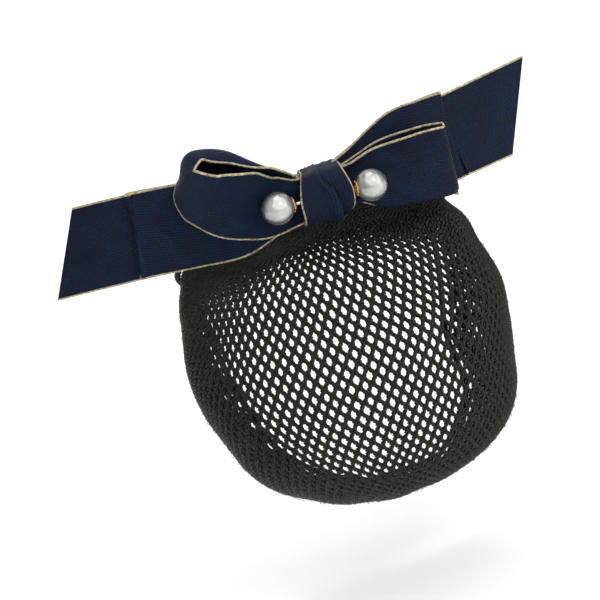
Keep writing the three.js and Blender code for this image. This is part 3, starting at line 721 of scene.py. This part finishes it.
# The knot: a gathered band with a slanting fold in front, where its right side laps over its left
knot = {
    "ribbonWidth": 22,
    "width": 16,
    "height": 15.5,
    "lift": 0.6,
    "shift": -1.8,
    "crown": 1.2,
    "drift": -0.2,
    "gathers": 7,
    "gatherDepth": 0.6,
    "gatherShift": -0.25,
    "stations": 180,
    "faces": 64,
    "columns": ("depth", "height", "crown", "spread", "shift", "fold"),
    "rows": [
        (1.00, 0.00, 1.0, 1.00, 0.00, 1.0),
        (0.97, 0.52, 0.8, 0.92, 0.01, 1.0),
        (0.78, 0.86, 0.3, 0.80, 0.10, 1.0),
        (0.45, 0.93, 0.0, 0.73, 0.24, 1.0),
        (0.08, 0.88, 0.0, 0.70, 0.32, 1.0),
        (0.00, 0.78, 0.0, 0.68, 0.28, 0.5),
        (0.00, 0.00, 0.0, 0.68, 0.10, 0.0),
        (0.00, -0.86, 0.0, 0.70, 0.00, 0.5),
        (0.08, -0.98, 0.0, 0.74, -0.02, 1.0),
        (0.45, -1.00, 0.0, 0.80, -0.05, 1.0),
        (0.78, -0.92, 0.3, 0.88, -0.05, 1.0),
        (0.97, -0.55, 0.8, 0.96, -0.02, 1.0),
    ],
    "foldColumns": ("v", "lowX", "lowD", "highX", "highD"),
    "foldRows": [
        (-1.00, -1.00, -0.25, -1.00, -0.25),
        (-0.92, -0.92, 0.00, -0.93, -0.05),
        (-0.70, -0.68, 0.25, -0.75, 0.10),
        (-0.40, -0.34, 0.40, -0.50, 0.35),
        (-0.16, -0.08, 0.85, -0.28, 0.80),
        (0.00, 0.11, 1.70, -0.14, 1.10),
        (0.08, 0.24, 1.85, -0.06, 1.00),
        (0.14, 0.32, 1.50, 0.00, 0.60),
        (0.20, 0.33, 0.75, 0.03, 0.10),
        (0.28, 0.24, -0.05, 0.05, -0.20),
        (0.36, 0.22, -0.40, 0.10, -0.30),
        (0.44, 0.33, -0.35, 0.18, -0.15),
        (0.56, 0.50, 0.00, 0.36, 0.25),
        (0.70, 0.66, 0.25, 0.58, 0.40),
        (0.85, 0.85, 0.20, 0.81, 0.25),
        (0.92, 0.94, 0.00, 0.93, 0.00),
        (1.00, 1.00, -0.25, 1.00, -0.25),
    ],
}


# Where the band lies in front it follows the fold's sections, and behind it is gathered
def knotSurface():
    row = readTable(knot, np.arange(knot["stations"]) / knot["stations"], True)
    y = layers["knotBack"] + (layers["knotFront"] - layers["knotBack"]) * row["depth"]
    y = y - row["crown"] * knot["crown"]
    z = knot["lift"] + row["height"] * knot["height"] / 2
    base = np.stack([knot["shift"] + row["shift"] * knot["width"] / 2, y, z], axis=-1)
    outward = unit(np.cross([1.0, 0.0, 0.0], slope(base, True)))
    v = np.linspace(-1, 1, knot["faces"] + 1)
    foldTable = {"columns": knot["foldColumns"], "rows": knot["foldRows"]}
    fine = readTable(foldTable, np.linspace(0, 1, 600), False)
    section = {key: np.interp(v, fine["v"], fine[key])[None, :] for key in knot["foldColumns"]}
    share = np.clip((row["height"] - 0.2) / 0.6, 0, 1)[:, None]  # from the low section to the high one
    share = share * share * (3 - 2 * share)
    fold = row["fold"][:, None]
    sway = (1 - v ** 2)[None, :] * (knot["drift"] * row["height"] * row["fold"])[:, None]
    frontX = section["lowX"] + (section["highX"] - section["lowX"]) * share + sway
    frontD = section["lowD"] + (section["highD"] - section["lowD"]) * share
    wave = np.sin(knot["gathers"] * math.pi * v + 0.5 * np.sin(3 * v))
    gatherD = (knot["gatherDepth"] * wave + knot["gatherShift"])[None, :]
    x = frontX * fold + v[None, :] * (1 - fold)
    # The fold flattens towards the back
    calm = 0.3 + 0.7 * np.clip((row["depth"][:, None] - 0.4) / 0.4, 0, 1)
    depth = frontD * calm * fold + gatherD * (1 - fold)
    half = (row["spread"] * knot["width"] / 2)[:, None]
    points = base[:, None, :] + (x * half)[..., None] * np.array([1.0, 0.0, 0.0])
    points = points + depth[..., None] * outward[:, None, :]
    gaps = np.linalg.norm(slope(base, True), axis=1) / 2
    return points, np.concatenate([[0], np.cumsum(gaps)]), v


surface = knotSurface()
piece = addBand("knot_cloth", "knot", surface, True, knot["ribbonWidth"])
edgeCord("knot", surface, True)
print("stage: knot", round(surface[1][-1], 1), "mm round")


# Beads, cups and pin, turned about the pin's axis
bead = {
    "diameter": 10,
    "spacing": 29.7,
    "shift": -2.4,
    "lift": 1.1,
    "tilt": 4,
    "around": 48,
    "hole": 0.6,
    "cup": 4.6,
    "cupGap": 0.12,
    "petals": 9,
    "cupInside": (0.25, 0.5, 0.75, 1.0),  # shares of the cup's radius
    "cupOutside": ((0.22, 1.02), (0.6, 0.86), (1.0, 0.55), (1.3, 0.3)),  # depth, and share of the radius
    "flutes": (0.0, 0.02, 0.05, 0.09, 0.09, 0.06, 0.03, 0.0),
    "pin": 1.0,
    "pinGap": 0.6,
    "pinTip": 0.05,
}


# Rings round an axis. A wave flutes each ring by its own share of the radius.
def turnProfile(profile, wave):
    around = bead["around"]
    angle = 2 * math.pi * np.arange(around) / around
    along = np.array([p[0] for p in profile], dtype=float)
    radius = np.array([p[1] for p in profile], dtype=float)[:, None] * np.ones(around)[None, :]
    radius = radius * (1 + np.reshape(wave, (-1, 1)) * np.cos(bead["petals"] * angle)[None, :])
    return np.stack([
        np.repeat(along[:, None], around, axis=1),
        radius * np.cos(angle)[None, :],
        radius * np.sin(angle)[None, :],
    ], axis=-1)


# side is -1 to mirror to the left, and away is how far along the pin
def placeOnPin(points, side, away):
    turned = points.copy()
    turned[..., 0] = side * (turned[..., 0] + away)
    tilt = math.radians(bead["tilt"])
    x, z = turned[..., 0].copy(), turned[..., 2].copy()
    turned[..., 0] = x * math.cos(tilt) + z * math.sin(tilt)
    turned[..., 2] = -x * math.sin(tilt) + z * math.cos(tilt)
    return turned + np.array([bead["shift"], layers["pin"], bead["lift"]])


def addTurned(name, slotName, node, profile, material, side, away, wave=0.0):
    rings = placeOnPin(turnProfile(profile, wave), side, away)
    count, size = rings.shape[:2]
    quads = ringFaces(count, size, False)
    caps = [np.arange(size)[::-1], (count - 1) * size + np.arange(size)]
    if side > 0:
        quads, caps = quads[:, ::-1], [cap[::-1] for cap in caps]
    seat(addMesh(name, rings, quads, material, None, caps), slotName, node)


def addBeads():
    radius = bead["diameter"] / 2
    hole = bead["hole"]
    centre = bead["spacing"] / 2
    mouth = -math.sqrt(radius ** 2 - hole ** 2)
    sweep = np.linspace(math.asin(hole / radius), math.pi - 0.02, 40)
    ball = [(mouth + 1.2, 0.1), (mouth + 1.0, hole * 0.8), (mouth + 0.1, hole)]  # the hole, 1.2 mm deep
    ball += [(-radius * math.cos(a), radius * math.sin(a)) for a in sweep]
    cup = bead["cup"] / 2
    seatRadius = radius + bead["cupGap"]
    shell = [(-math.sqrt(seatRadius ** 2 - (s * cup) ** 2), s * cup) for s in bead["cupInside"]]
    rim = shell[-1][0]
    shell += [(rim - depth, cup * share) for depth, share in bead["cupOutside"]]
    for side, word in ((-1, "left"), (1, "right")):
        addTurned(f"pearl_{word}_bead", "pearl", f"pearl_{word}", ball, pearlCoat, side, centre)
        addTurned(f"cap_{word}_cup", "gilt", f"cap_{word}", shell, giltBrass, side, centre, bead["flutes"])
    half = centre - radius - bead["pinGap"]
    steps = np.linspace(-half, half, 24)
    wire = [(-half, bead["pinTip"]), *[(x, bead["pin"] / 2) for x in steps], (half, bead["pinTip"])]
    addTurned("pin_wire", "pin_wire", "pin", wire, brightSteel, 1, 0)


addBeads()
print("stage: beads")

# The net: the same sections as the solid
net = {
    "width": 102,
    "drop": 110,
    "rise": 3,
    "depth": 32,
    "back": 15,
    "columns": ("drop", "width", "front", "side", "back", "wrap", "round", "tuck", "shift"),
    "rows": [
        (0, 0.74, 0, 0.45, 0.45, 90, 0, 0, 0),
        (0.075, 0.77, 0, 0.45, 0.47, 92, 0, 0, -0.7),
        (0.145, 0.82, 0, 0.42, 0.52, 96, 0, 0, -2),
        (0.19, 0.87, 0.06, 0.32, 0.62, 104, 0.5, 0, -3),
        (0.242, 0.91, 0.38, 0.15, 0.76, 114, 1, 0, -3),
        (0.33, 0.96, 0.67, 0, 0.86, 122, 1, 0, -2.8),
        (0.44, 1.01, 0.92, -0.2, 0.96, 128, 1, 0, -2.2),
        (0.56, 0.99, 1, -0.3, 1, 130, 1, 0.01, -2.2),
        (0.68, 0.94, 0.97, -0.3, 1, 130, 1, 0.04, -1.2),
        (0.79, 0.89, 0.82, -0.2, 0.98, 127, 1, 0.08, 0.7),
        (0.89, 0.79, 0.55, 0.05, 0.95, 121, 1, 0.11, 3),
        (0.965, 0.63, 0.18, 0.4, 0.92, 113, 1, 0.12, 5.2),
        (1, 0.45, -0.14, 0.68, 0.9, 103, 1, 0.09, 6.6),
        (0.985, 0.34, -0.36, 0.82, 0.88, 94, 1, 0.05, 7),
    ],
    "nudge": 1e-3,  # the step for slopes, as a share of the net
}

# Its columns of stitches: neighbours swing towards each other and apart, so that holes open between them
wales = {
    "count": 112,
    "steps": 620,
    "cell": 2.5,
    "swing": 0.27,  # of the columns' spacing
    "sharpness": 1.5,  # over 1 flattens the swing's ends
    "wander": 0.45,
    "jitter": 0.05,
    "rowWander": 0.5,  # in radians of the swing
    "bulge": 0.5,
    "margin": 0.998,  # how near the free edges a column may come, as a share
}
yarn = {"strands": 2, "sides": 4, "orbit": 0.43, "radius": 0.49, "pitch": 2.6, "spacing": 0.52}
seeds = {"wales": 7, "sideways": 11, "rows": 5, "outward": 23, "fibres": 31}


# Points of the net: u runs from -1 to 1 along its top edge, v from 0 at the top to 1 at the bottom
def netPoints(u, v):
    row = readTable(net, v.ravel(), False)
    row = {key: value.reshape(v.shape) for key, value in row.items()}
    angle = np.radians(u * row["wrap"])
    halfWidth = row["width"] * net["width"] / 2
    x = halfWidth * (u + (np.sin(angle) - u) * row["round"])
    frontY = layers["net"] - row["front"] * net["depth"]
    sideY = row["side"] * net["back"]
    backY = row["back"] * net["back"]
    ends = np.minimum(np.cos(np.radians(row["wrap"])), -1e-3)
    c = np.cos(angle)
    ring = np.where(c >= 0, sideY + (frontY - sideY) * c, sideY + (backY - sideY) * c / ends)
    flat = layers["net"] + clipCurve(x)
    y = flat + (ring - flat) * row["round"]
    z = net["rise"] - (row["drop"] - row["tuck"] * (1 - c) / 2) * net["drop"]
    return np.stack([x + row["shift"], y, z], axis=-1)


def netFrames(u, v):
    nudge = net["nudge"]
    across = unit(netPoints(u + nudge, v) - netPoints(u - nudge, v))
    down = unit(netPoints(u, np.minimum(v + nudge, 1)) - netPoints(u, np.maximum(v - nudge, 0)))
    return across, down, -unit(np.cross(across, down))


# A slow unevenness over the net, between about -1 and 1, from a few waves. It is the same each time.
def unevenness(u, v, seed):
    maker = np.random.default_rng(seed)
    total = np.zeros_like(u)
    waveCount = 7
    for _ in range(waveCount):
        fu, fv, phase = maker.uniform(2, 9), maker.uniform(3, 14), maker.uniform(0, 6.28)
        total += np.sin(fu * u * 3 + fv * v * 2 + phase) * maker.uniform(0.4, 1)
    return total / 4


def netWales():
    v = np.linspace(0, 1, wales["steps"])
    sample = np.linspace(-0.9, 0.9, 9)
    lines = netPoints(*np.meshgrid(sample, v, indexing="xy"))
    steps = np.linalg.norm(np.diff(lines, axis=0), axis=-1).mean(axis=1)
    rowLength = np.concatenate([[0], np.cumsum(steps)])
    meshes = []
    maker = np.random.default_rng(seeds["wales"])
    nudge = net["nudge"]
    for wale in range(wales["count"]):
        u = np.full(len(v), -1 + (2 * wale + 1) / wales["count"])
        widthHere = np.linalg.norm(netPoints(u + nudge, v) - netPoints(u - nudge, v), axis=-1) / (2 * nudge)
        spacingHere = widthHere * 2 / wales["count"]
        wander = unevenness(u, v, seeds["sideways"]) * wales["wander"] + maker.normal(0, wales["jitter"])
        rowTurn = math.pi * rowLength / wales["cell"] + wales["rowWander"] * unevenness(u, v, seeds["rows"])
        wave = np.clip(wales["sharpness"] * np.cos(rowTurn), -1, 1)
        sign = 1 if wale % 2 else -1
        sideways = sign * wave * wales["swing"] * spacingHere + wander
        moved = np.clip(u + sideways / np.maximum(widthHere, 1), -wales["margin"], wales["margin"])
        across, down, face = netFrames(moved, v)
        bulge = unevenness(moved, v, seeds["outward"]) * wales["bulge"]
        path = netPoints(moved, v) + face * bulge[:, None]
        line = evenly(path, (across, face), yarn["spacing"], False)
        meshes.append(windStrands(line, yarn, False, maker.uniform(0, 6.28)))
    return meshes


columns = netWales()
third = math.ceil(len(columns) / 3)
for index, word in enumerate(("left", "middle", "right")):
    part = [strand for column in columns[index * third:(index + 1) * third] for strand in column]
    addStrands(f"net_{word}", "net_yarn", part, netYarn, *(["net"] if index == 0 else []))
print("stage: net")


# Loose fibres that curl over the yarn and across the stitches' holes. Real ones are finer, and these are as
# thick as they need to show.
fibres = {"count": 1800, "steps": 7, "length": 4.5, "radius": 0.07, "bend": 1.4, "lift": 0.75, "wave": 0.35}


def netFibres():
    maker = np.random.default_rng(seeds["fibres"])
    count, steps = fibres["count"], fibres["steps"]
    u = maker.uniform(-0.98, 0.98, count)
    v = maker.uniform(0.03, 0.99, count)
    across, down, face = netFrames(u, v)
    heading = maker.uniform(0, 2 * math.pi, count)
    length = fibres["length"] * maker.uniform(0.4, 1.0, count)
    bend = maker.normal(0, fibres["bend"], count)
    t = np.linspace(-0.5, 0.5, steps)
    meshes = []
    for k in range(count):
        turn = heading[k] + bend[k] * t * 2
        flat = np.cos(turn)[:, None] * across[k] + np.sin(turn)[:, None] * down[k]
        path = np.cumsum(flat, axis=0) * length[k] / steps
        lift = fibres["lift"] + fibres["wave"] * np.cos(t * 5 + heading[k])
        path = netPoints(u[k:k + 1], v[k:k + 1]) + path - path[steps // 2] + lift[:, None] * face[k]
        first = np.tile(face[k], (steps, 1))
        second = unit(np.cross(slope(path, False), first))
        meshes.append((tube(path, first, second, fibres["radius"], 3), False))
    return meshes


addStrands("net_fuzz", "net_yarn", netFibres(), fuzzHighlightYarn)
print("stage: loose fibres")


# The covered elastic: four strands wound together, outside the net's sides and below its bottom
elastic = {
    "strands": 4,
    "sides": 8,
    "orbit": 0.52,
    "radius": 0.56,
    "pitch": 6.0,
    "spacing": 0.6,
    "offset": 2.3,
    "top": 0.07,
    "smooth": 9,
}
# Two cords along the top edge, at these shares of the net's height
topCord = {
    "strands": 2,
    "sides": 5,
    "orbit": 0.3,
    "radius": 0.34,
    "pitch": 2.4,
    "spacing": 0.5,
    "levels": (0.004, 0.03),
}


def elasticStrands():
    down = np.linspace(elastic["top"], 1, 90)
    left = np.stack([np.full(len(down), -1.0), down], axis=-1)
    bottom = np.stack([np.linspace(-0.97, 0.97, 40), np.ones(40)], axis=-1)
    right = np.stack([np.full(len(down), 1.0), down], axis=-1)[::-1]
    u, v = np.concatenate([left, bottom, right]).T
    across, below, face = netFrames(np.clip(u, -0.999, 0.999), np.clip(v, 0.001, 0.999))
    onSide = np.where(np.abs(u) > 0.999, 1.0, 0.0)[:, None]
    atBottom = np.where(v > 0.999, 1.0, 0.0)[:, None]
    out = unit(across * np.sign(u)[:, None] * onSide + below * atBottom)
    path = netPoints(u, v) + out * elastic["offset"]
    width = elastic["smooth"]
    padded = np.pad(path, ((width // 2, width // 2), (0, 0)), mode="edge")
    path = np.stack([np.convolve(line, np.ones(width) / width, mode="valid") for line in padded.T], axis=-1)
    beside = unit(np.cross(face, slope(path, False)))
    return windStrands(evenly(path, (face, beside), elastic["spacing"], False), elastic, False)


def topStrands():
    meshes = []
    u = np.linspace(-1, 1, 120)
    for level in topCord["levels"]:
        v = np.full(len(u), level)
        across, down, face = netFrames(np.clip(u, -0.999, 0.999), v)
        line = evenly(netPoints(u, v), (down, face), topCord["spacing"], False)
        meshes += windStrands(line, topCord, False)
    return meshes


addStrands("rim_elastic_cord", "net_yarn", elasticStrands(), netYarn, "rim_elastic")
addStrands("net_header", "net_yarn", topStrands(), netYarn)
print("stage: net edges")

# The clip keeps its solid, with a plated steel finish
for made in bpy.data.objects:
    if made.name == "clip":
        made.data.materials.clear()
        made.data.materials.append(clipSteel)


# Floor, surroundings and lights, in metres and watts
studio = {
    "floor": -0.135,
    "floorReach": 3.0,
    "wall": 1.4,
    "bend": 0.5,
    "wallTop": 2.6,
    "paper": "#FAFAFA",
    "softbox": (0.2, -0.6, 0.77),
    "softboxEdge": (0.62, 0.66),
    "softboxStrength": 1.7,
    "roomStrength": 0.2,
    "lights": (  # name, place, height of its target, size, power
        ("key", (0.4, -0.9, 0.9), -0.03, 0.3, 3),
        ("fill", (0.9, -0.8, 0.2), -0.04, 0.8, 1),
        ("top", (0.1, 0.3, 1.2), -0.04, 0.8, 3),
    ),
}


# White paper that bends up behind the part. It is matt, so that it shows soft shadows and no reflections.
def addFloor():
    floor, reach, bend = studio["floor"], studio["floorReach"], studio["bend"]
    foot = studio["wall"] - bend
    profile = [(-reach, floor), (foot, floor)]
    for a in np.linspace(0, math.pi / 2, 16):
        profile.append((foot + bend * math.sin(a), floor + bend - bend * math.cos(a)))
    profile += [(studio["wall"], studio["wallTop"])]
    points = [(x, y, z) for y, z in profile for x in (-reach, reach)]
    faces = [(2 * i, 2 * i + 1, 2 * i + 3, 2 * i + 2) for i in range(len(profile) - 1)]
    mesh = bpy.data.meshes.new("floor")
    mesh.from_pydata(points, [], faces)
    mesh.polygons.foreach_set("use_smooth", [True] * len(faces))
    paper = newMaterial("white paper", {"Roughness": 0.9, "Base Color": linear(studio["paper"])})[0]
    mesh.materials.append(paper)
    made = bpy.data.objects.new("floor", mesh)
    bpy.context.collection.objects.link(made)


def addLights():
    for name, place, targetHeight, size, power in studio["lights"]:
        data = bpy.data.lights.new(name, "AREA")
        data.shape = "DISK"
        data.size = size
        data.energy = power
        made = bpy.data.objects.new(name, data)
        made.location = place
        aim = Vector((0, 0, targetHeight)) - Vector(place)
        made.rotation_euler = aim.to_track_quat("-Z", "Y").to_euler()
        bpy.context.collection.objects.link(made)


# The surroundings are one large softbox, in front and above, in a dim room
def addWorld():
    world = bpy.data.worlds.new("studio")
    world.use_nodes = True
    tree = world.node_tree
    direction = addNode(tree, "TexCoord", {}, {}).outputs["Generated"]
    towards = {"operation": "DOT_PRODUCT", 1: Vector(studio["softbox"]).normalized()}
    facing = addNode(tree, "VectorMath", towards, {0: direction}).outputs["Value"]
    low, high = studio["softboxEdge"]
    levels = {1: low, 2: high, 3: studio["roomStrength"], 4: studio["softboxStrength"]}
    strength = addNode(tree, "MapRange", levels, {0: facing})
    background = tree.nodes["Background"]
    background.inputs["Color"].default_value = linear("#FFFFFF")
    tree.links.new(strength.outputs[0], background.inputs["Strength"])
    bpy.context.scene.world = world


addFloor()
addWorld()
addLights()
bpy.context.scene.view_settings.view_transform = "Standard"
print("stage: studio")
